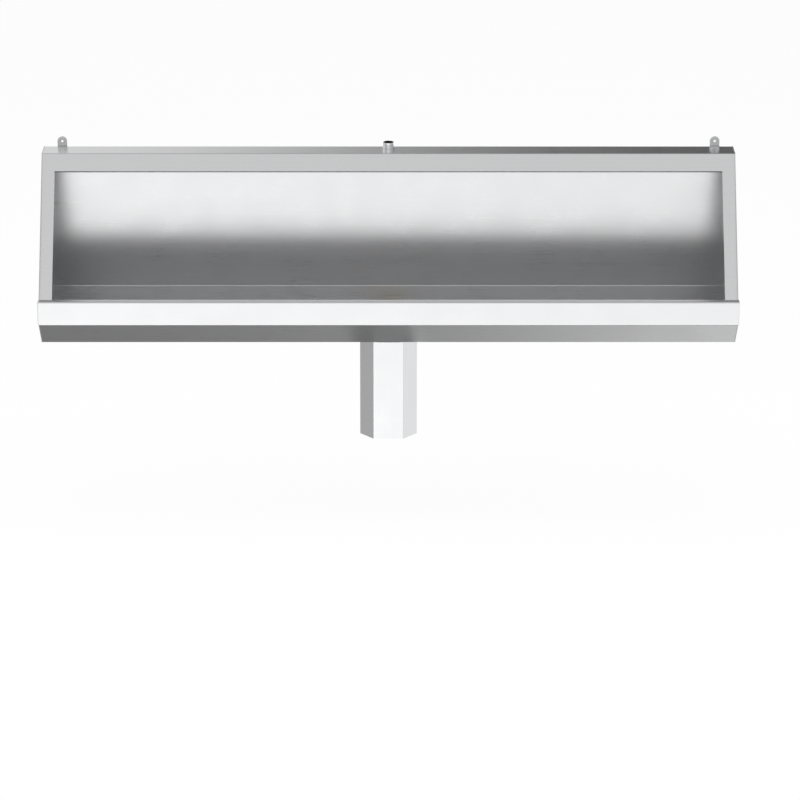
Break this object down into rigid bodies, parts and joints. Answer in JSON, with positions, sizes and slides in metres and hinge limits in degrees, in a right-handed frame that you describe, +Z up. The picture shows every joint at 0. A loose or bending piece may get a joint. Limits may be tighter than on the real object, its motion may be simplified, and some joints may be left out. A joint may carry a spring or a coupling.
{
  "type": "trough urinal",
  "caption": "Wall-hung stainless steel trough urinal with a sloping open front, a flat rim, a concealed flush pipe and a faceted trap cover.",
  "frame": {"origin": "on the wall plane, midway between the two hanging screw holes", "axes": "+X along the trough to the right as seen from the front, +Y into the wall, +Z up"},
  "size_m": [1.8, 0.343, 0.7545],
  "materials": {
    "stainless_sheet": "fine satin stainless sheet",
    "stainless_cover": "fine satin stainless sheet",
    "stainless_strap": "mill finish stainless strip",
    "stainless_tube": "turned and polished stainless tube",
    "brass_fitting": "plain machined brass",
    "rubber_seal": "black rubber",
    "trap_plastic": "white moulded plastic"
  },
  "bodies": {
    "trough": {"basin_shell": "stainless_sheet", "front_frame": "stainless_sheet", "end_panel_left": "stainless_sheet", "end_panel_right": "stainless_sheet", "front_rim": "stainless_sheet", "hanging_straps": "stainless_strap", "inlet_spigot": "stainless_tube", "sparge_tee": "brass_fitting", "sparge_pipe_left": "stainless_tube", "sparge_pipe_right": "stainless_tube", "sparge_end_plugs": "rubber_seal", "sparge_clips": "stainless_strap", "waste_flange": "stainless_tube", "waste_top_gasket": "rubber_seal", "waste_bottom_gasket": "rubber_seal", "waste_backnut": "brass_fitting", "trap_inlet_washer": "rubber_seal", "trap_inlet_nut": "trap_plastic", "trap_body": "trap_plastic", "trap_outlet_washer": "rubber_seal", "trap_outlet_nut": "trap_plastic", "outlet_pipe": "trap_plastic", "wall_rosette": "trap_plastic", "cover_runner_left": "stainless_strap", "cover_runner_right": "stainless_strap"},
    "cover": {"trap_cover": "stainless_cover", "cover_hanger_left": "stainless_strap", "cover_hanger_right": "stainless_strap"},
    "strainer": {"waste_strainer": "stainless_tube"},
    "cup_seal": {"cup_seal_ring": "rubber_seal"},
    "cup": {"trap_cup": "trap_plastic"}
  },
  "joints": [
    {"name": "cover_pull", "type": "slide", "parent": "trough", "child": "cover", "axis": [0, -1, 0], "range_m": [0, 0.24]},
    {"name": "strainer_lift", "type": "slide", "parent": "trough", "child": "strainer", "axis": [0, 0, 1], "range_m": [0, 0.08]},
    {"name": "cup_drop", "type": "slide", "parent": "trough", "child": "cup_seal", "axis": [0, 0, -1], "range_m": [0, 0.012]},
    {"name": "cup_turn", "type": "hinge", "parent": "cup_seal", "child": "cup", "pos_m": [0, -0.178, -0.65], "axis": [0, 0, -1], "range_deg": [0, 1440]}
  ],
  "couplings": [
    {"joint": "cup_drop", "follows": "cup_turn", "m_per_rad": 0.000477}
  ]
}
